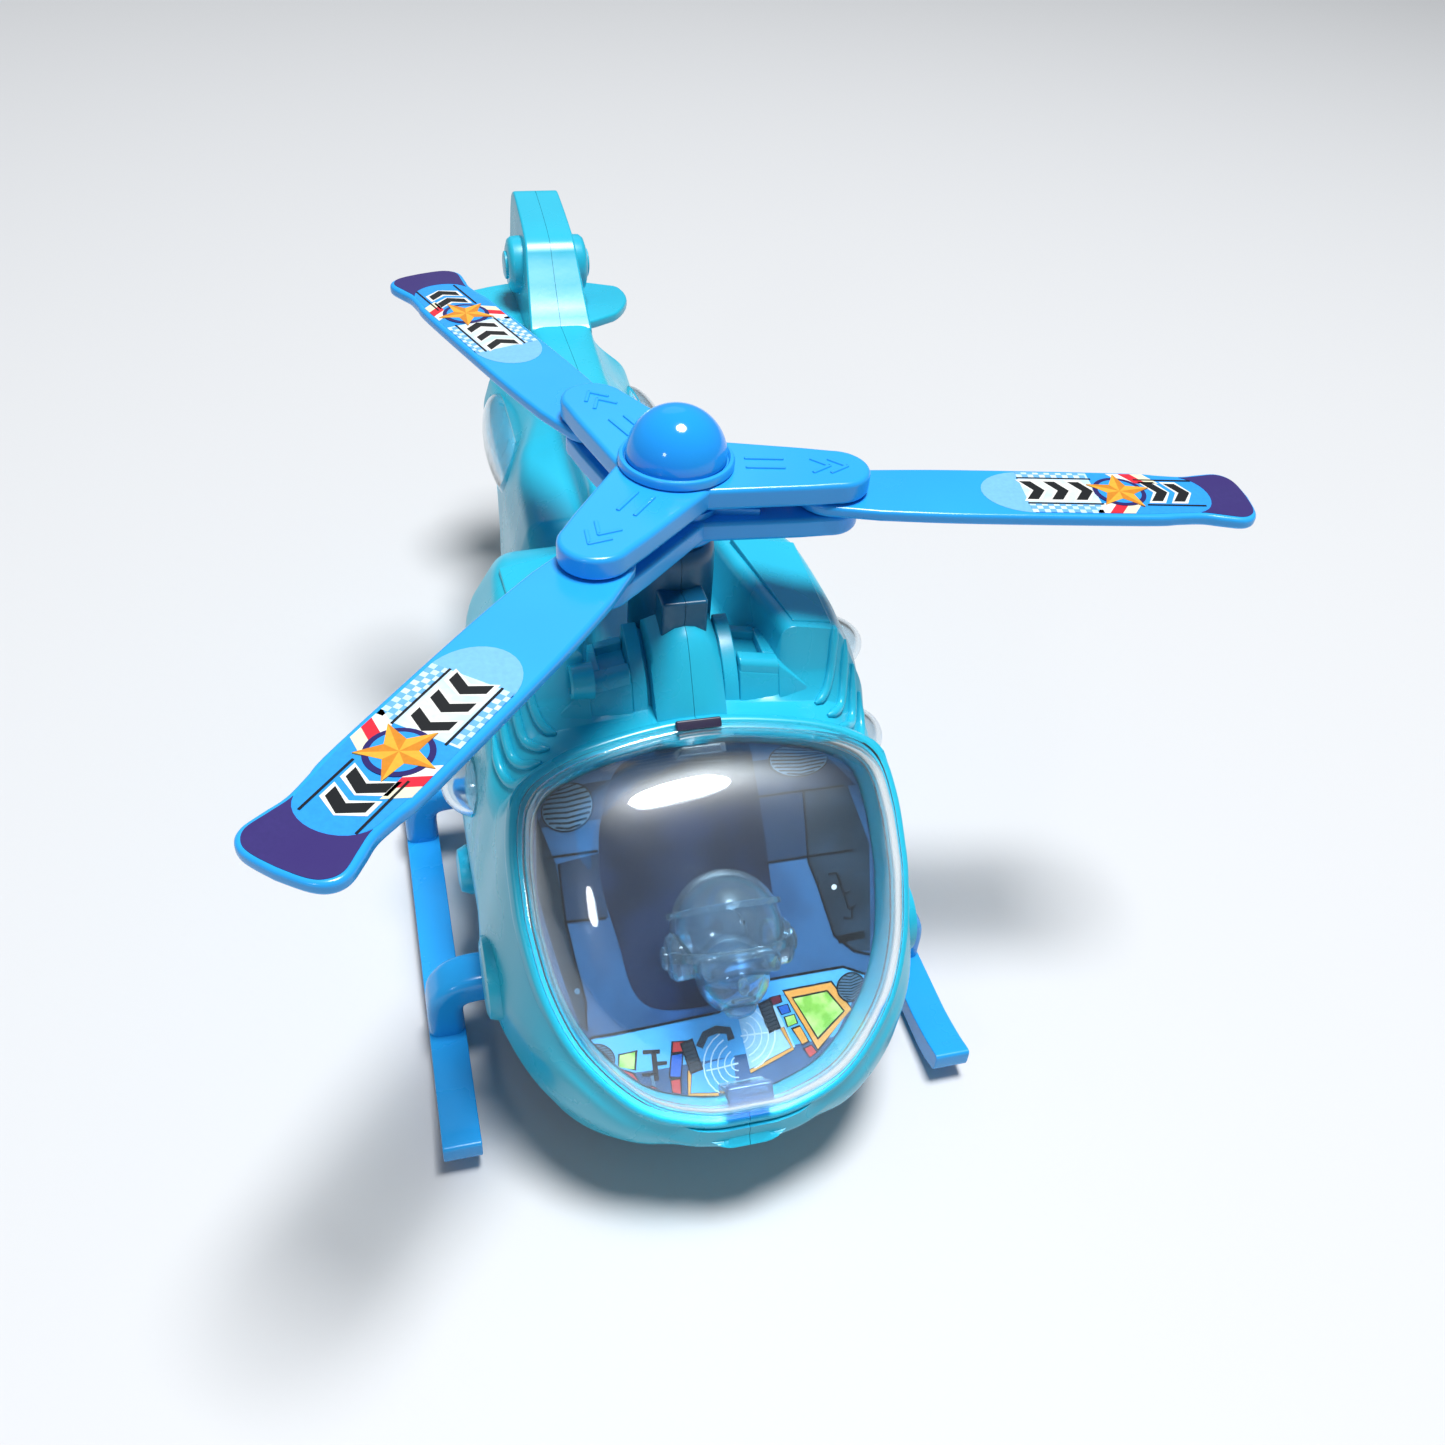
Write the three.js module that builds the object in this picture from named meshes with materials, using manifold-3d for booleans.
import * as THREE from 'three';
import { mergeVertices } from 'three/addons/utils/BufferGeometryUtils.js';
import Module from 'manifold-3d';

const wasm = await Module();
wasm.setup();

// Driving dimensions, in millimetres. X is across, +Y runs to the tail, Z is up,
// and the origin is on the flat underside of the chassis, below the rotor mast.
const wall = 2;
const gap = 0.3;
const seamHalfGap = 0.15;
const floorPlateTop = 2.7;
const bodyBottom = 3;

const canopyTop = { y: -27.4, z: 78.3 };
const canopySlopeDeg = 44.8;
const canopyLength = 81;
const canopyRimWidth = 4.5;
const canopyBulge = 17;
const noseLift = 14;
const noseLiftFrom = -55;
const noseLiftLength = 32;

const rotorRadius = 121.5;
const bladeTop = 118;
const bladeThickness = 2.6;
const bladeHalfWidth = 9.3;
const bladePinRadiusFromMast = 32;
const firstBladeAngleDeg = -10.2;
const armReach = 39.5;
const hubBarrelRadius = 9.8;
const domeRadius = 10.2;
const shaftRadius = 2.5;

const gearModule = 0.96;
const rotorGearTeeth = 30;
const pinionTeeth = 10;
const gearBottom = 63;
const gearThickness = 4;

const skidHalfTrack = 56.7;
const skidWidth = 8.4;
const skidBottom = -8;
const skidTop = -3;
const strutWidth = 10;
const frontStrutY = -29;
const rearStrutY = 35;

const floorZ = -10;
const turretY = -38;
const turretRadius = 15.5;
const driveWheelRadius = 8;
const driveWheelHalfTrack = 8.6;
const rearAxleY = 73;
const rearWheelRadius = 8;
const rearWheelHalfTrack = 18;
const wheelWidth = 4.6;

const cellRadius = 7.1;
const cellLength = 50;
const cellPitch = 15;
const cellFrontY = 9;
const cellZ = 11.2;

const radians = Math.PI / 180;

// One place for turning three.js geometry into solids and back.
function solidOf(geometry) {
  const bare = geometry.index ? geometry.toNonIndexed() : geometry.clone();
  bare.deleteAttribute('normal');
  bare.deleteAttribute('uv');
  const merged = mergeVertices(bare, 1e-4);
  return new wasm.Manifold(new wasm.Mesh({
    numProp: 3,
    vertProperties: new Float32Array(merged.attributes.position.array),
    triVerts: new Uint32Array(merged.index.array),
  }));
}

function geometryOf(solid) {
  const mesh = solid.getMesh();
  const geometry = new THREE.BufferGeometry();
  geometry.setAttribute('position', new THREE.BufferAttribute(new Float32Array(mesh.vertProperties), 3));
  geometry.setIndex(new THREE.BufferAttribute(new Uint32Array(mesh.triVerts), 1));
  geometry.computeVertexNormals();
  return geometry;
}

function joined(solids) {
  return solids.reduce((whole, next) => whole.add(next));
}

function cut(solid, tools) {
  return tools.reduce((left, tool) => left.subtract(tool), solid);
}

function block(x0, x1, y0, y1, z0, z1) {
  const geometry = new THREE.BoxGeometry(x1 - x0, y1 - y0, z1 - z0);
  geometry.translate((x0 + x1) / 2, (y0 + y1) / 2, (z0 + z1) / 2);
  return solidOf(geometry);
}

function upright(radius, z0, z1, x = 0, y = 0, segments = 24, topRadius = radius) {
  const geometry = new THREE.CylinderGeometry(topRadius, radius, z1 - z0, segments);
  geometry.rotateX(Math.PI / 2);
  geometry.translate(x, y, (z0 + z1) / 2);
  return solidOf(geometry);
}

function crossways(radius, x0, x1, y, z, segments = 24, endRadius = radius) {
  const geometry = new THREE.CylinderGeometry(endRadius, radius, x1 - x0, segments);
  geometry.rotateZ(-Math.PI / 2);
  geometry.translate((x0 + x1) / 2, y, z);
  return solidOf(geometry);
}

function lengthways(radius, y0, y1, x, z, segments = 20) {
  const geometry = new THREE.CylinderGeometry(radius, radius, y1 - y0, segments);
  geometry.translate(x, (y0 + y1) / 2, z);
  return solidOf(geometry);
}

function turned(profile, segments = 24) {
  const geometry = new THREE.LatheGeometry(profile.map(([r, z]) => new THREE.Vector2(r, z)), segments);
  geometry.rotateX(Math.PI / 2);
  return solidOf(geometry);
}

// A flat outline in X and Y, raised from z0 to z1.
function slab(outline, z0, z1) {
  const shape = new THREE.Shape(outline.map(([x, y]) => new THREE.Vector2(x, y)));
  const geometry = new THREE.ExtrudeGeometry(shape, { depth: z1 - z0, bevelEnabled: false });
  geometry.translate(0, 0, z0);
  return solidOf(geometry);
}

// A side outline in Y and Z, carried from x0 to x1.
function sidePlate(outline, x0, x1) {
  const shape = new THREE.Shape(outline.map(([y, z]) => new THREE.Vector2(y, z)));
  const geometry = new THREE.ExtrudeGeometry(shape, { depth: x1 - x0, bevelEnabled: false });
  geometry.rotateZ(Math.PI / 2);
  geometry.rotateY(Math.PI / 2);
  geometry.translate(x0, 0, 0);
  return solidOf(geometry);
}

// A front outline in X and Z, carried from y0 to y1.
function frontPlate(outline, y0, y1) {
  const shape = new THREE.Shape(outline.map(([x, z]) => new THREE.Vector2(x, z)));
  const geometry = new THREE.ExtrudeGeometry(shape, { depth: y1 - y0, bevelEnabled: false });
  geometry.rotateX(Math.PI / 2);
  geometry.translate(0, y1, 0);
  return solidOf(geometry);
}

// Skin over equal-length closed rings of points, with a flat cap at both ends.
// flatten gives each point's two coordinates in the plane of the caps.
function loft(rings, flatten) {
  const count = rings[0].length;
  const index = [];
  for (let r = 0; r < rings.length - 1; r += 1) {
    for (let i = 0; i < count; i += 1) {
      const a = r * count + i;
      const b = r * count + ((i + 1) % count);
      index.push(a, b, b + count, a, b + count, a + count);
    }
  }
  for (const [ring, direction] of [[0, -1], [rings.length - 1, 1]]) {
    const flat = rings[ring].map((point) => new THREE.Vector2(...flatten(point)));
    const turn = direction * Math.sign(THREE.ShapeUtils.area(flat));
    for (const face of THREE.ShapeUtils.triangulateShape(flat, [])) {
      const faceTurn = Math.sign(THREE.ShapeUtils.area(face.map((corner) => flat[corner])));
      const corners = faceTurn === turn ? face : [face[0], face[2], face[1]];
      index.push(...corners.map((corner) => corner + ring * count));
    }
  }
  const facing = (order) => {
    const geometry = new THREE.BufferGeometry();
    geometry.setAttribute('position', new THREE.BufferAttribute(new Float32Array(rings.flat(2)), 3));
    geometry.setIndex(order);
    return solidOf(geometry);
  };
  const solid = facing(index);
  return solid.volume() > 0 ? solid : facing([...index].reverse());
}

function mirrored(solid) {
  return solid.mirror([1, 0, 0]);
}

function bothSides(solid) {
  return solid.add(mirrored(solid));
}

// Body cross-sections: the right half of each, from the top centre line to the bottom one.
// Ahead of noseLiftFrom the underside curves up towards the tip.
function noseSection(y, ringHalfWidth, sideHalfWidth) {
  const plane = canopyTop.z + (y - canopyTop.y) * Math.tan(canopySlopeDeg * radians);
  const top = plane + 9;
  const low = Math.min(30, plane - 5);
  const lift = noseLift * (Math.max(0, noseLiftFrom - y) / noseLiftLength) ** 2;
  const bottom = Math.min(bodyBottom + lift, low - 1.5);
  return { y, half: [
    [0, top], [ringHalfWidth * 0.4, top], [ringHalfWidth * 0.75, top], [ringHalfWidth * 0.95, top],
    [ringHalfWidth, plane + 2], [ringHalfWidth + 1, plane - 3], [sideHalfWidth, low],
    [sideHalfWidth - 1, bottom + (low - bottom) * 0.45], [sideHalfWidth * 0.84, bottom], [0, bottom],
  ] };
}

const bodySections = [
  noseSection(-86.5, 5, 7),
  noseSection(-84, 12, 15),
  noseSection(-80.9, 22, 25),
  noseSection(-72.6, 32.5, 35.5),
  noseSection(-63.6, 37.9, 41.5),
  noseSection(-53.5, 40.2, 45.2),
  noseSection(-45.1, 40.3, 47.2),
  noseSection(-35.2, 39.4, 48),
  { y: -27, half: [[0, 82], [10, 82], [15, 80], [21, 77.5], [33, 73], [42, 60], [47.5, 34], [46.5, 15],
    [41, 3], [0, 3]] },
  { y: -22.5, half: [[0, 80], [10, 80], [13.5, 82], [17, 98], [34, 87], [43, 66], [47.5, 34], [46.5, 15],
    [41, 3], [0, 3]] },
  { y: 0, half: [[0, 80], [10, 80], [13, 83], [16, 101], [34, 89], [44.5, 68], [47.5, 34], [46.5, 15],
    [41, 3], [0, 3]] },
  { y: 20, half: [[0, 80], [10, 80], [13, 83], [16, 99], [33.5, 88], [43, 67], [46, 34], [45, 15],
    [40, 3], [0, 3]] },
  { y: 28, half: [[0, 80], [9, 80], [12, 82], [15, 92], [31, 84], [40, 64], [44, 34], [43, 15], [38, 3],
    [0, 3]] },
  { y: 38, half: [[0, 79], [8, 79], [12, 79], [15, 79], [27, 77], [34, 62], [39, 34], [39, 15], [35, 3],
    [0, 3]] },
  { y: 44, half: [[0, 90], [6, 90], [10, 88], [14, 85.5], [25, 81], [30, 66], [35, 36], [35, 16],
    [32, 3], [0, 3]] },
  { y: 75, half: [[0, 89], [6, 89], [10, 87.5], [14, 85], [23.5, 80], [25.5, 68], [27, 44], [26, 20],
    [23, 3], [0, 3]] },
  { y: 84, half: [[0, 89], [6, 89], [10, 87.5], [13.5, 84.5], [23, 80], [25, 69], [26, 48], [24.5, 24],
    [22.5, 3], [0, 3]] },
  { y: 91, half: [[0, 89], [6, 89], [10, 87.3], [13.5, 84], [22.5, 80], [24.5, 69], [24, 52], [22, 34],
    [19, 12], [0, 11]] },
  { y: 110, half: [[0, 89], [6, 89], [8.5, 87], [12, 83], [20.5, 79], [22, 71], [20, 62], [17, 55],
    [12, 51], [0, 50]] },
  { y: 140, half: [[0, 89], [6, 89], [8.3, 87], [10.5, 82.5], [17.5, 78.5], [18.5, 73], [16, 67],
    [13, 63.5], [9, 61.5], [0, 61]] },
  { y: 150, half: [[0, 90], [5.5, 90], [7.8, 88], [8, 83], [8.2, 79], [8.2, 74], [8, 69], [7.8, 65.5],
    [6, 63], [0, 62.5]] },
  { y: 178, half: [[0, 92], [5, 92], [6.8, 89.5], [7, 86], [7, 82], [7, 78.5], [7, 75], [6.8, 72.5],
    [5, 70.5], [0, 70]] },
];

// Moves a half section inwards by a thickness, square to each corner.
function insetHalf(half, thickness) {
  return half.map(([x, z], i) => {
    const before = half[Math.max(i - 1, 0)];
    const after = half[Math.min(i + 1, half.length - 1)];
    const along = new THREE.Vector2(after[0] - before[0], after[1] - before[1]).normalize();
    const movedX = x === 0 ? 0 : Math.max(0.5, x + along.y * thickness);
    return [movedX, z - along.x * thickness];
  });
}

function fullRing(y, half) {
  const right = half.map(([x, z]) => [x, y, z]);
  const left = half.slice(1, -1).reverse().map(([x, z]) => [-x, y, z]);
  return [...right, ...left];
}

const acrossAndUp = ([x, , z]) => [x, z];
const outerBody = loft(bodySections.map(({ y, half }) => fullRing(y, half)), acrossAndUp);
const hollowSections = bodySections.filter(({ y }) => y >= -84 && y <= 142);
const innerBody = loft(hollowSections.map(({ y, half }, i) => {
  const inset = insetHalf(half, wall);
  const opensBelow = y >= noseLiftFrom && y <= 84;
  if (opensBelow) {
    const corner = inset[7][0];
    inset[8] = [Math.min(inset[8][0] + wall, corner) - 1, bodyBottom - 4];
    inset[9] = [0, bodyBottom - 4];
  }
  return fullRing(i === 0 ? y + wall : y, inset);
}), acrossAndUp);

// Canopy plane: local X is across, local Y runs up the slope, local Z stands out of it.
const canopyPlane = new THREE.Matrix4().makeRotationX(canopySlopeDeg * radians);
canopyPlane.setPosition(0, canopyTop.y, canopyTop.z);

function onCanopyPlane(solid) {
  return solid.transform(canopyPlane.elements);
}

const ringOutline = [
  [0, 0], [20, -2.3], [32, -6], [38.2, -11], [40.3, -20], [40.6, -30], [40.2, -38],
  [37.9, -51], [32.5, -63.7], [22, -75.4], [10, -80.3], [0, -81],
];

function ringInset(amount) {
  const middle = -canopyLength / 2;
  const right = ringOutline.map(([x, s]) => [
    x * (1 - amount / 40.6),
    middle + (s - middle) * (1 - amount / (canopyLength / 2)),
  ]);
  return [...right, ...right.slice(1, -1).reverse().map(([x, s]) => [-x, s])];
}

const aboveCanopy = onCanopyPlane(block(-60, 60, -110, 0.8, 0, 60));
const cockpitOpening = onCanopyPlane(slab(ringInset(4), -16, 5));
const canopyFlange = onCanopyPlane(cut(slab(ringInset(0.4), -4, 0), [slab(ringInset(4), -5, 1)]));

const engineHump = frontPlate(
  [[-9.5, 76], [9.5, 76], [9.5, 88], [7.5, 92.5], [4, 94.5], [0, 95], [-4, 94.5], [-7.5, 92.5], [-9.5, 88]],
  -21, -4,
);
const humpFront = sidePlate([[-27, 78], [-25.2, 81], [-22.3, 85.5], [-18, 90], [-15, 92.5], [-10, 95],
  [-10, 76], [-27, 76]], -8.5, 8.5);
const humpBand = sidePlate([[-27.5, 78], [-26, 82], [-23, 87], [-18.5, 91.5], [-12, 95.5], [-4, 96],
  [-4, 76], [-27, 76]], 9, 12.5);
const steppedBlock = block(12, 18.5, -25.5, -14, 76, 88);
const screwPod = sidePlate([[-25, 74], [-24, 84], [-19, 90], [-8, 91], [-8, 74]], 19, 30);
const mastBlock = block(-4.6, 4.6, -12.6, -6, 84, 98.6);
const mastBoss = upright(9, 77, 106.5, 0, 0, 24);
const finOutline = [
  [146, 62.5], [146, 90], [151, 96], [157, 104.5], [161.5, 108.3], [172, 110.4], [186, 112.6], [190, 112.4],
  [192.5, 110], [192, 104], [187, 88], [184, 76], [182, 62], [176, 58], [170, 60], [160, 65.5],
];
const tailFin = sidePlate(finOutline, -7.2, 7.2);
const tailBoss = crossways(8, 6, 11.4, 169.5, 97.6, 20, 6.6);
const stabiliser = slab([[6, 155], [17, 157.5], [22, 162], [25.5, 170], [25, 178], [21, 181.5],
  [6, 184]], 82.5, 85.5);
const sidePod = crossways(13.5, 44, 49.5, -40, 26, 24, 10);
const sideBoss = crossways(6, 44, 50, -6, 22, 16, 5);
const ventRibs = [0, 1, 2, 3].map((i) => sidePlate(
  [[-24 + i, 71 - 3.2 * i], [-8 + i, 76 - 3.2 * i], [-8 + i, 77.7 - 3.2 * i], [-24 + i, 73.2 - 3.2 * i]],
  30 + 3 * i, 42.5 + 1.2 * i,
));

const mastBore = upright(4.4, 70, 110, 0, 0, 24);
const sideLensHoles = [crossways(9, 30, 60, 14, 62, 20), crossways(9, 30, 60, -7, 50, 20)];
const rearLensHole = crossways(6, 10, 40, 105, 72, 20);
const strutSockets = [frontStrutY, rearStrutY].map((y) => block(
  30, 60, y - strutWidth / 2 - gap, y + strutWidth / 2 + gap, 6.2, 14.8,
));

const shellSolid = () => {
  const raised = joined([
    outerBody, engineHump, humpFront, bothSides(humpBand), bothSides(steppedBlock), bothSides(screwPod),
    mastBlock, mastBoss, tailFin, bothSides(tailBoss), bothSides(stabiliser), bothSides(sidePod),
    bothSides(sideBoss), ...ventRibs.map(bothSides),
  ]);
  const hollow = joined([cut(raised, [innerBody, aboveCanopy]), canopyFlange,
    ...screwBosses.map(bothSides)]);
  return cut(hollow, [
    cockpitOpening, mastBore, block(-60, 60, -100, 90, -20, bodyBottom),
    ...sideLensHoles.map(bothSides), bothSides(rearLensHole), ...strutSockets.map(bothSides),
  ]);
};

const rearBodySkin = loft(bodySections.filter(({ y }) => y >= 44).map(({ y, half }) => (
  fullRing(y, insetHalf(half, -gap))
)), acrossAndUp).subtract(crossways(5.9, 10, 40, 105, 72, 20));

// Case screws: bottom of each well across X, its place in Y and Z, and how far its boss reaches out.
const caseScrews = [
  { wellBottom: 21.5, y: -17, z: 84, bossEnd: 27 },
  { wellBottom: 20, y: 58, z: 50, bossEnd: 27 },
  { wellBottom: 12, y: 118, z: 61, bossEnd: 17.5 },
  { wellBottom: 2.5, y: 166, z: 76, bossEnd: 6 },
  { wellBottom: 30, y: -64, z: 13, bossEnd: 37.5 },
];
const screwBosses = caseScrews.map(({ y, z, bossEnd }) => crossways(4.6, 0, bossEnd, y, z, 10));

function largestPiece(solid) {
  const pieces = solid.decompose();
  return pieces.reduce((best, next) => (next.volume() > best.volume() ? next : best));
}

const rightShell = largestPiece(shellSolid().intersect(block(seamHalfGap, 80, -120, 220, -20, 140)));
const screwWells = caseScrews.map(({ wellBottom, y, z }) => crossways(2.6, -70, -wellBottom, y, z, 12));
const leftShell = largestPiece(cut(mirrored(rightShell), screwWells));
const screwSolids = caseScrews.map(({ wellBottom, y, z }) => {
  const head = crossways(2.2, -wellBottom - 2.1, -wellBottom - gap, y, z, 12);
  return head.subtract(block(-wellBottom - 2.6, -wellBottom - 1.4, y - 0.3, y + 0.3, z - 1.5, z + 1.5));
});

// Chassis: floor plate, battery tray, turret opening and wheel ears.
const chassisOutline = (() => {
  const right = [
    [0, -66], [12, -65], [22, -61.5], [29, -56], [34, -49], [37.5, -41], [39.5, -32], [40.5, -22],
      [40.5, 0],
    [39.5, 20], [37.5, 28], [34.5, 38], [31.5, 44], [22.8, 75], [22.2, 83], [0, 83],
  ];
  return [...right, ...right.slice(1, -1).reverse().map(([x, y]) => [-x, y])];
})();
const trayHalfWidth = 24.5;
const trayRearY = cellFrontY + cellLength + 3;
const trayWalls = cut(
  block(-trayHalfWidth, trayHalfWidth, cellFrontY - 3, trayRearY + 1.5, 1, 16),
  [block(-trayHalfWidth + 1.5, trayHalfWidth - 1.5, cellFrontY - 1.5, trayRearY, -1, 20)],
);
const doorOpening = block(-22, 22, cellFrontY - 0.5, trayRearY - 1, -1, 5);
const doorLedge = cut(block(-24, 24, cellFrontY - 3, trayRearY + 1.5, 2, 3.2), [block(-21, 21, 10.5,
  trayRearY - 3, 1, 5)]);
const turretOpening = upright(turretRadius + 1, -5, 10, 0, turretY, 28);
const turretCollar = cut(upright(turretRadius + 3, 1, 6, 0, turretY, 28), [upright(turretRadius + 1, 0, 8,
  0, turretY, 28)]);
const rearEars = [-1, 1].map((side) => cut(
  block(side * 12 - 1.5, side * 12 + 1.5, rearAxleY - 4, rearAxleY + 4, floorZ + 4.2, 2),
  [crossways(1.56, side * 12 - 4, side * 12 + 4, rearAxleY, floorZ + rearWheelRadius, 24)],
));
const wheelSlots = [-1, 1].map((side) => block(
  side * rearWheelHalfTrack - 3.3, side * rearWheelHalfTrack + 3.3, rearAxleY - 8, rearAxleY + 8, -3, 7,
));
const chassisBase = (() => {
  const plate = slab(chassisOutline, 0, floorPlateTop);
  const switchSlot = block(28.5, 32.5, -4.5, 4.5, -1, 5);
  const soundSlots = [-34, -30, -26].map((x) => block(x - 0.9, x + 0.9, -16, -2, -1, 5));
  const solid = joined([plate, trayWalls, turretCollar, ...rearEars]);
  return cut(solid, [doorOpening, turretOpening, ...wheelSlots, switchSlot, ...soundSlots]).add(doorLedge);
})();

const batteryDoor = joined([
  block(-21.6, 21.6, cellFrontY - 0.1, trayRearY - 1.4, 0, 1.6),
  block(-6, 6, trayRearY - 3, trayRearY - 1.4, 0, 1.6),
]).subtract(upright(1.9, -1, 3, 0, 53, 16));
const doorScrew = joined([upright(1.6, 0.3, 2, 0, 53, 16), upright(0.9, 1.5, 3.4, 0, 53, 12)]);

const cells = [-1, 0, 1].map((column) => {
  const x = column * cellPitch;
  const forwards = column === 0 ? -1 : 1;
  const start = cellFrontY + 0.4;
  const barrel = lengthways(cellRadius, start + 0.8, start + cellLength - 0.8, x, cellZ, 20);
  const nub = forwards > 0
    ? lengthways(2.6, start + cellLength - 1, start + cellLength, x, cellZ, 12)
    : lengthways(2.6, start, start + 1, x, cellZ, 12);
  return barrel.add(nub);
});
const contactFront = block(-21, 21, cellFrontY - 1.2, cellFrontY - 0.6, 6, 15.5);
const contactRear = block(-21, 21, trayRearY - 1.0, trayRearY - 0.4, 6, 15.5);

// Drive unit: a turret that turns freely under a fixed gearbox, with two driven wheels.
const axleZ = floorZ + driveWheelRadius;
const turretBody = (() => {
  const disc = upright(turretRadius, 0.6, 4.6, 0, turretY, 28);
  const neck = upright(6, 4, 8.6, 0, turretY, 24);
  const frame = block(-4.8, 4.8, turretY - 5, turretY + 5, -4.6, 2);
  const wells = [-1, 1].map((side) => block(
    side * driveWheelHalfTrack - 2.9, side * driveWheelHalfTrack + 2.9, turretY - 8.9, turretY + 8.9, -8, 7,
  ));
  const bore = crossways(1.56, -7, 7, turretY, axleZ, 24);
  return cut(joined([disc, neck, frame]), [...wells, bore]);
})();
const driveAxle = crossways(1.5, -11.2, 11.2, turretY, axleZ, 24);
function wheelSolid(x, y, z, radius, bore) {
  const half = wheelWidth / 2;
  const tread = turned([
    [bore, -half], [radius - 1, -half], [radius, -half + 1], [radius, half - 1], [radius - 1, half],
      [bore, half], [bore, -half],
  ], 24);
  return tread.rotate([0, 90, 0]).translate([x, y, z]);
}
const gearbox = cut(joined([
  block(-15, 15, turretY - 14, turretY + 12, 9.2, 24),
  block(-21, -14.5, turretY - 4, turretY + 4, 6.4, 12),
  block(14.5, 21, turretY - 4, turretY + 4, 6.4, 12),
]), [block(-13.4, 13.4, turretY - 12.4, turretY + 10.4, 11, 30), upright(3, 5, 12, 0, turretY, 16)]);
const driveMotor = joined([
  crossways(7, -11.5, 9, turretY - 1, 18.6, 20),
  crossways(1, 9, 12, turretY - 1, 18.6, 10),
]);

const rearAxle = crossways(1.5, -22, 22, rearAxleY, floorZ + rearWheelRadius, 24);

// Spur gears with straight-sided teeth and a little play.
function gearOutline(teeth, phaseDeg) {
  const pitch = gearModule * teeth / 2;
  const tip = pitch + gearModule * 0.85;
  const root = pitch - gearModule * 1.15;
  const step = 2 * Math.PI / teeth;
  const points = [];
  for (let i = 0; i < teeth; i += 1) {
    const middle = i * step + phaseDeg * radians;
    for (const [radius, share] of [[root, -0.3], [tip, -0.1], [tip, 0.1], [root, 0.3]]) {
      points.push([radius * Math.cos(middle + share * step), radius * Math.sin(middle + share * step)]);
    }
  }
  return points;
}
const gearCentreDistance = gearModule * (rotorGearTeeth + pinionTeeth) / 2;
const rotorGear = slab(gearOutline(rotorGearTeeth, 90), gearBottom, gearBottom + gearThickness)
  .add(upright(5, gearBottom - 3, gearBottom + 1, 0, 0, 20))
  .subtract(upright(shaftRadius + gap, 50, 80, 0, 0, 24));
const rotorPinion = slab(gearOutline(pinionTeeth, 90 + 180 / pinionTeeth), gearBottom - 0.5,
  gearBottom + gearThickness + 0.5)
  .subtract(upright(1 + gap, 50, 80, 0, 0, 16))
  .translate([0, gearCentreDistance, 0]);
const rotorMotor = joined([
  upright(10, 32, 56.5, 0, gearCentreDistance, 28).intersect(block(-7.6, 7.6, 0, 40, 30, 60)),
  upright(3, 56, 58, 0, gearCentreDistance, 16),
  upright(1, 57, gearBottom + gearThickness, 0, gearCentreDistance, 16),
]);
const gearBracket = cut(joined([
  block(-13, 13, -9, gearCentreDistance + 12, 57, 59.4),
  upright(5, 53, 59.4, 0, 0, 24),
  ...[-1, 1].flatMap((side) => [-8, gearCentreDistance + 8].map((y) => block(side * 11 - 1.8,
    side * 11 + 1.8, y - 1, y + 3, 24.4, 58))),
]), [upright(shaftRadius + 0.05, 50, 62, 0, 0, 32), upright(3.3, 55, 62, 0, gearCentreDistance, 20)]);
const rotorShaft = upright(shaftRadius, 53.5, 114, 0, 0, 24);
const mastBush = cut(upright(4.1, 96, 106.9, 0, 0, 24).add(upright(6, 106.8, 107.8, 0, 0, 24)), [
  upright(shaftRadius + 0.05, 90, 110, 0, 0, 32),
]);

// Rotor head: upper and lower halves hold the blade roots on pins.
function armOutline(reach, rootHalf, tipHalf) {
  const tipCentre = reach - tipHalf;
  const points = [[0, -rootHalf], [tipCentre - 4, -tipHalf - 1]];
  for (let i = 0; i <= 6; i += 1) {
    const turn = (-90 + 30 * i) * radians;
    points.push([tipCentre + tipHalf * Math.cos(turn), tipHalf * Math.sin(turn)]);
  }
  points.push([tipCentre - 4, tipHalf + 1], [0, rootHalf]);
  return points;
}

function spread(solid) {
  return [0, 1, 2].map((i) => solid.rotate([0, 0, firstBladeAngleDeg + 120 * i]));
}

const upperArm = slab(armOutline(armReach, 11, 7.2), bladeTop + gap, bladeTop + 5.4);
const lowerArm = slab(armOutline(armReach - 1.5, 10, 6.6), bladeTop - bladeThickness - gap - 4.6,
  bladeTop - bladeThickness - gap);
const hubSplitZ = bladeTop - bladeThickness / 2;
const hubUpper = cut(joined([
  ...spread(upperArm),
  ...spread(block(4, 17, -6, 6, hubSplitZ + 0.15, bladeTop + 2)),
  upright(hubBarrelRadius, hubSplitZ + 0.15, bladeTop + 6.6, 0, 0, 30),
  upright(hubBarrelRadius + 1.9, bladeTop + 5, bladeTop + 7.4, 0, 0, 30),
]), [upright(domeRadius + gap, bladeTop + 6.8, bladeTop + 12, 0, 0, 30), upright(3.2, hubSplitZ - 1,
  bladeTop + 10, 0, 0, 16)]);
const hubLower = cut(joined([
  ...spread(lowerArm),
  ...spread(block(4, 17, -6, 6, bladeTop - bladeThickness - 2, hubSplitZ - 0.15)),
  upright(hubBarrelRadius, bladeTop - 9.6, hubSplitZ - 0.15, 0, 0, 30),
]), [upright(shaftRadius + gap, bladeTop - 12, bladeTop - 3.5, 0, 0, 24)]);
const pinHole = upright(2.2, bladeTop - 14, bladeTop + 2.6, bladePinRadiusFromMast, 0, 20);
const upperWithPins = spread(pinHole).reduce((left, hole) => left.subtract(hole), hubUpper);
const lowerWithPins = spread(pinHole).reduce((left, hole) => left.subtract(hole), hubLower);
const bladePin = joined([
  upright(1.9, bladeTop - 9, bladeTop + 2.2, bladePinRadiusFromMast, 0, 20),
  upright(3, bladeTop - 9.2, bladeTop - bladeThickness - gap - 5, bladePinRadiusFromMast, 0, 20),
]);
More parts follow.
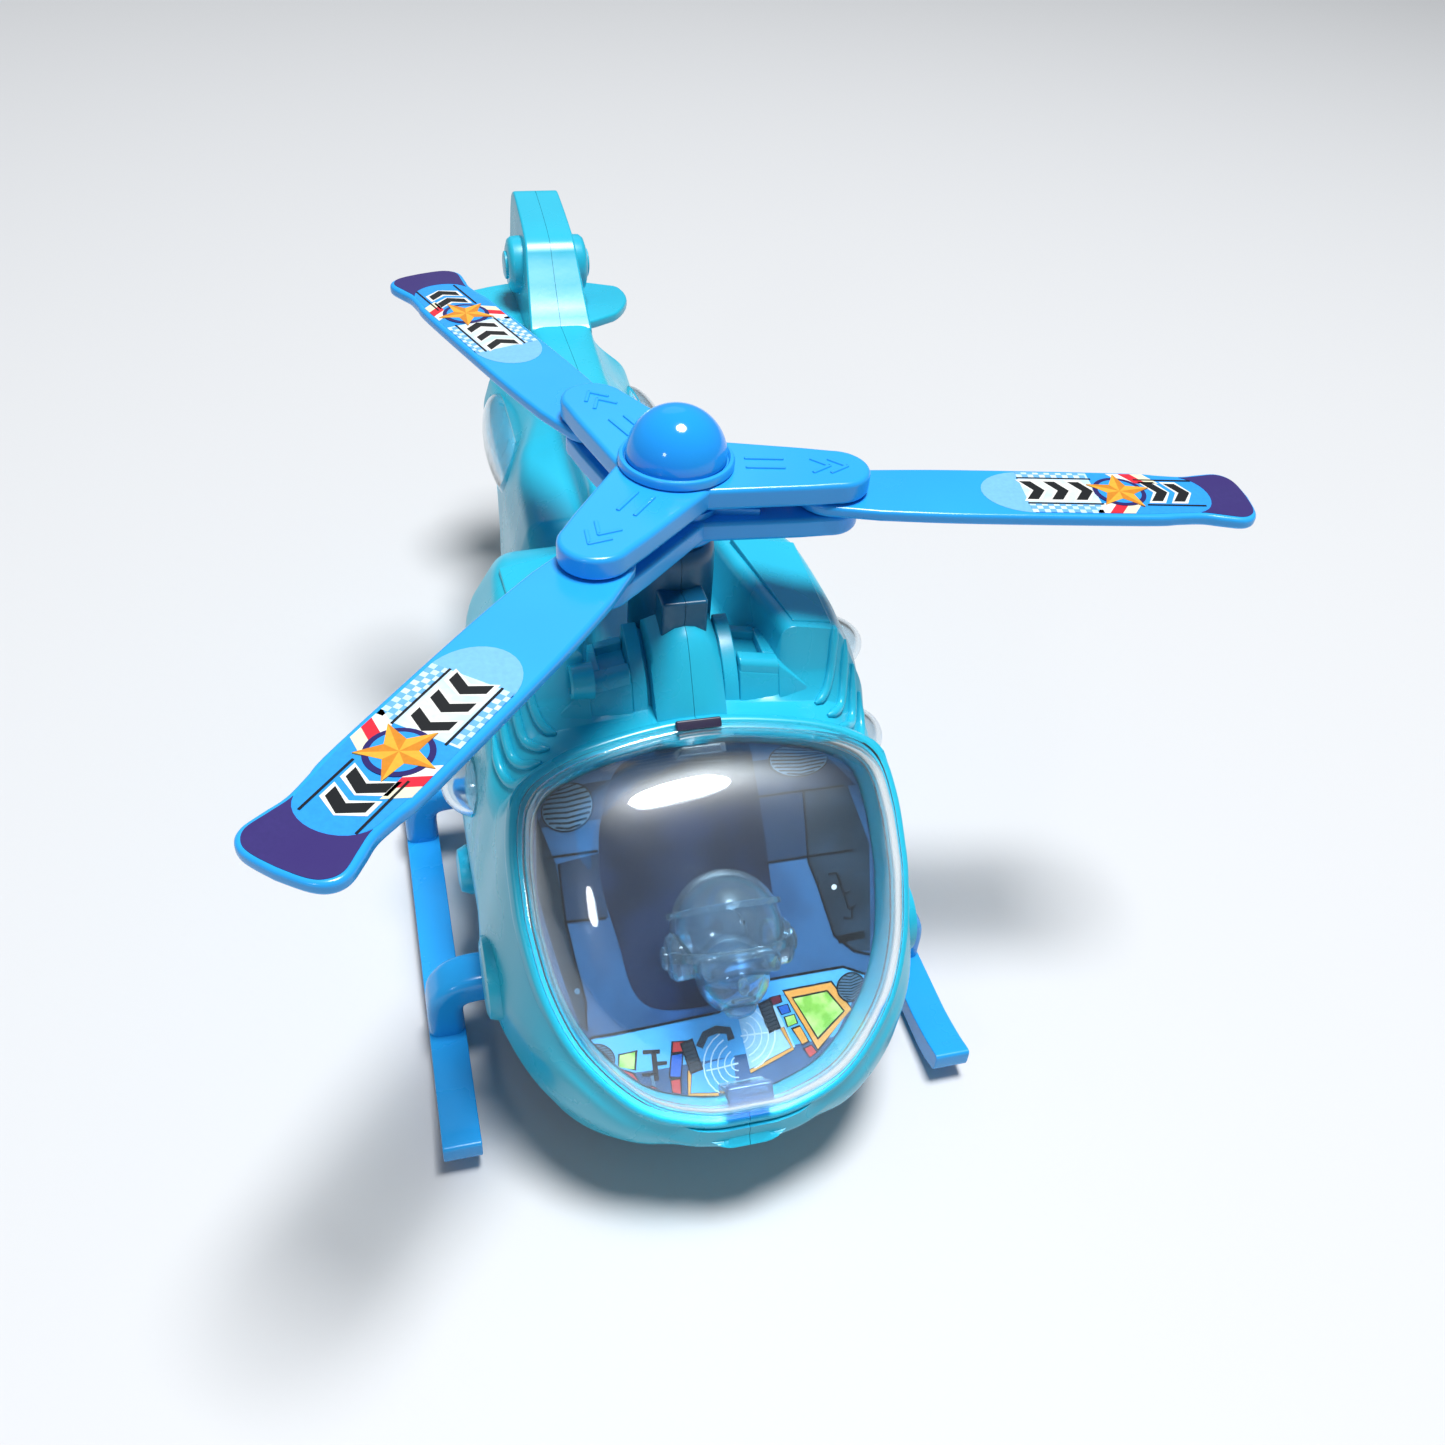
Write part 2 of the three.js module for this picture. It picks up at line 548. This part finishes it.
const dome = solidOf((() => {
  const profile = [[0, 0]];
  for (let i = 0; i <= 6; i += 1) {
    const turn = 90 / 6 * i * radians;
    profile.push([domeRadius * Math.cos(turn), domeRadius * Math.sin(turn)]);
  }
  profile[profile.length - 1][0] = 0;
  const geometry = new THREE.LatheGeometry(profile.map(([r, z]) => new THREE.Vector2(r, z)), 30);
  geometry.rotateX(Math.PI / 2);
  geometry.translate(0, 0, bladeTop + 7.1);
  return geometry;
})());

const bladeOutline = (() => {
  const half = [
    [41, 8.6], [60, 9.3], [96, 9.2], [104, 8.5], [109, 8.2], [113, 9], [117, 9.6], [119.6, 8.4],
      [121, 5.5], [rotorRadius, 0],
  ];
  const root = [];
  for (let i = 0; i <= 8; i += 1) {
    const turn = (90 + 22.5 * i) * radians;
    root.push([bladePinRadiusFromMast + 7.4 * Math.cos(turn), 7.4 * Math.sin(turn)]);
  }
  return [...half, ...half.slice(0, -1).reverse().map(([r, w]) => [r, -w]), ...root.reverse()];
})();
const blade = slab(bladeOutline, bladeTop - bladeThickness, bladeTop)
  .subtract(upright(2.0, bladeTop - 10, bladeTop + 10, bladePinRadiusFromMast, 0, 24));

// Canopy bubble: a skin lofted from the rim up, then hollowed by the same bubble inset.
function bubble(inset, height, foot) {
  const outline = ringInset(inset);
  const middle = -canopyLength / 2;
  const rings = [[1, foot], [1, 0], [0.985, 0.28], [0.93, 0.56], [0.8, 0.8], [0.6, 0.93],
    [0.3, 0.99]].map(([share, rise]) => (
    outline.map(([x, s]) => [x * share, middle + (s - middle) * share,
      rise === foot ? foot : rise * height])
  ));
  return loft(rings, ([x, s]) => [x, s]);
}

const canopy = onCanopyPlane(cut(
  joined([
    bubble(canopyRimWidth, canopyBulge, -2.5),
    slab(ringInset(1.4), 0.3, 1.9),
    block(-4.8, 4.8, -7, -4.9, -5, 1),
    block(-4.8, 4.8, -76.1, -74, -5, 1),
  ]),
  [bubble(canopyRimWidth + 1.6, canopyBulge - 1.6, -9)],
));

const cockpitCard = onCanopyPlane(slab(ringInset(6.8), -11, -10.2).subtract(upright(9, -14, -6, 0, -44,
  24)));
const cockpitTray = onCanopyPlane(joined([
  slab(ringInset(6), -13, -11.3),
  block(-5, 5, -48, -40, -19, -12),
]));
const pilotHead = onCanopyPlane((() => {
  const skull = solidOf(new THREE.SphereGeometry(10.5, 14, 8).translate(0, -44, 1));
  const brow = solidOf(new THREE.SphereGeometry(8.5, 12, 7).translate(0, -50, 0));
  const ears = [-1, 1].map((side) => crossways(4.6, side > 0 ? 8 : -13, side > 0 ? 13 : -8, -45, 0, 16));
  const neck = upright(6, -10.9, -6, 0, -44, 16);
  return joined([skull, brow, ...ears, neck]);
})());

// Clear lenses bulge through the shell sides.
function lensLobe(y, z, radiusY, radiusZ, reach, inner) {
  const geometry = new THREE.SphereGeometry(1, 14, 7);
  geometry.scale(reach, radiusY, radiusZ);
  geometry.translate(inner, y, z);
  return solidOf(geometry);
}
const sideLens = cut(joined([
  lensLobe(14, 62, 8.4, 8.4, 14, 38.5),
  lensLobe(-7, 50, 8.4, 8.4, 11, 41),
  block(30, 40.7, -15, 16, 42, 64),
]), [lensLobe(14, 62, 7, 7, 12.6, 38.5), lensLobe(-7, 50, 7, 7, 9.6, 41), block(20, 39.5, -30, 40, 20,
  90)]);
const rearLens = cut(lensLobe(105, 75, 34, 8, 8.6, 18.4).add(crossways(5.6, 14, 24, 105, 72, 20)), [
  crossways(4.4, 10, 23.6, 105, 72, 20),
  rearBodySkin,
]);

const skidSide = (() => {
  const inner = skidHalfTrack - skidWidth / 2;
  const bar = sidePlate([
    [60, skidBottom], [63, skidBottom + 2], [63, skidTop], [-54, skidTop], [-60, skidTop + 1],
      [-65.5, skidTop + 3],
    [-65.5, skidBottom + 2.6], [-60, skidBottom + 0.6], [-56, skidBottom],
  ], inner, inner + skidWidth);
  const strut = [
    [43, 14.5], [53, 14.5], [57.5, 13], [60.2, 9.5], [60.9, 5], [60.9, skidTop - 1], [52.5, skidTop - 1],
    [52.5, 3.5], [51.5, 5.6], [49.5, 6.5], [43, 6.5],
  ];
  const struts = [frontStrutY, rearStrutY].map((y) => frontPlate(strut, y - strutWidth / 2,
    y + strutWidth / 2));
  return joined([bar, ...struts]);
})();

const switchKnob = joined([block(29.3, 31.7, -2.4, 0.4, -1.2, 4), block(27, 34, -3.4, 1.4, 3.2, 4.4)]);
const switchBody = cut(block(25, 36, -8, 8, 3, 11), [block(26.7, 34.3, -6.6, 6.6, 2, 5)]);
const circuitBoard = block(-19, 19, 12, 52, 19.4, 21);
const speaker = joined([upright(9.5, 3, 5, -30, -9, 24), upright(6, 4.5, 10, -30, -9, 20, 4.5)]);
function ledAt(x0, x1, y, z) {
  return crossways(2.4, x0, x1, y, z, 16, 1.6);
}

const colours = {
  bodyCyan: 0x2bbfd9, rotorBlue: 0x1e9cf0, clear: 0xcfe6f2, darkGrey: 0x2c2f33, tyreBlack: 0x1b1b1d,
  metal: 0xb9bcc0, copper: 0xc08a4e, board: 0x1e6b3a, cellBlue: 0x2b3f6b, white: 0xe9ecee, ledRed: 0xff5a4a,
  cardBlue: 0x3d6f9c, chassisBlue: 0x1b86c4, brass: 0xc9a24b,
};

const group = new THREE.Group();
group.name = 'toy_helicopter';

function place(name, solid, colour, roughness = 0.35, metalness = 0, opacity = 1) {
  const material = new THREE.MeshStandardMaterial({
    color: colour, roughness, metalness, opacity, transparent: opacity < 1,
  });
  const mesh = new THREE.Mesh(geometryOf(solid), material);
  mesh.name = name;
  group.add(mesh);
}

place('body_shell_right', rightShell, colours.bodyCyan);
place('body_shell_left', leftShell, colours.bodyCyan);
screwSolids.forEach((screw, i) => place(`case_screw_${i + 1}`, screw, colours.metal, 0.3, 1));
place('chassis_base', chassisBase, colours.chassisBlue);
place('battery_door', batteryDoor, colours.chassisBlue);
place('battery_door_screw', doorScrew, colours.metal, 0.3, 1);
cells.forEach((cell, i) => place(`battery_cell_${i + 1}`, cell, colours.cellBlue, 0.4, 0.2));
place('battery_contact_front', contactFront, colours.metal, 0.3, 1);
place('battery_contact_rear', contactRear, colours.metal, 0.3, 1);
place('canopy', canopy, colours.clear, 0.05, 0, 0.4);
place('cockpit_tray', cockpitTray, colours.bodyCyan);
place('cockpit_card', cockpitCard, colours.cardBlue, 0.5);
place('pilot_head', pilotHead, colours.clear, 0.1, 0, 0.5);
place('side_lens_right', sideLens, colours.clear, 0.1, 0, 0.5);
place('side_lens_left', mirrored(sideLens), colours.clear, 0.1, 0, 0.5);
place('rear_lens_right', rearLens, colours.clear, 0.1, 0, 0.5);
place('rear_lens_left', mirrored(rearLens), colours.clear, 0.1, 0, 0.5);
place('drive_gearbox', gearbox, colours.white, 0.5);
place('drive_motor', driveMotor, colours.metal, 0.3, 1);
place('drive_turret', turretBody, colours.darkGrey, 0.5);
place('drive_axle', driveAxle, colours.metal, 0.25, 1);
place('rear_axle', rearAxle, colours.metal, 0.25, 1);
for (const [side, word] of [[1, 'right'], [-1, 'left']]) {
  place(`drive_wheel_${word}`, wheelSolid(side * driveWheelHalfTrack, turretY, axleZ, driveWheelRadius,
    1.8), colours.tyreBlack, 0.8);
  place(`rear_wheel_${word}`, wheelSolid(side * rearWheelHalfTrack, rearAxleY, floorZ + rearWheelRadius,
    rearWheelRadius, 1.8), colours.tyreBlack, 0.8);
}
place('skid_right', skidSide, colours.rotorBlue);
place('skid_left', mirrored(skidSide), colours.rotorBlue);
place('gear_bracket', gearBracket, colours.white, 0.5);
place('rotor_motor', rotorMotor, colours.metal, 0.3, 1);
place('rotor_pinion', rotorPinion, colours.white, 0.5);
place('rotor_gear', rotorGear, colours.white, 0.5);
place('rotor_shaft', rotorShaft, colours.metal, 0.25, 1);
place('mast_bush', mastBush, colours.brass, 0.3, 1);
place('rotor_hub_lower', lowerWithPins, colours.rotorBlue);
place('rotor_hub_upper', upperWithPins, colours.rotorBlue);
place('rotor_dome', dome, colours.rotorBlue, 0.2);
spread(blade).forEach((solid, i) => place(`rotor_blade_${i + 1}`, solid, colours.rotorBlue));
spread(bladePin).forEach((solid, i) => place(`blade_pin_${i + 1}`, solid, colours.rotorBlue));
place('switch_knob', switchKnob, colours.darkGrey, 0.5);
place('switch_body', switchBody, colours.darkGrey, 0.5);
place('circuit_board', circuitBoard, colours.board, 0.5);
place('speaker', speaker, colours.darkGrey, 0.5);
place('side_led_right', ledAt(30, 37, 14, 62), colours.ledRed, 0.2);
place('side_led_left', mirrored(ledAt(30, 37, 14, 62)), colours.ledRed, 0.2);

export default group;
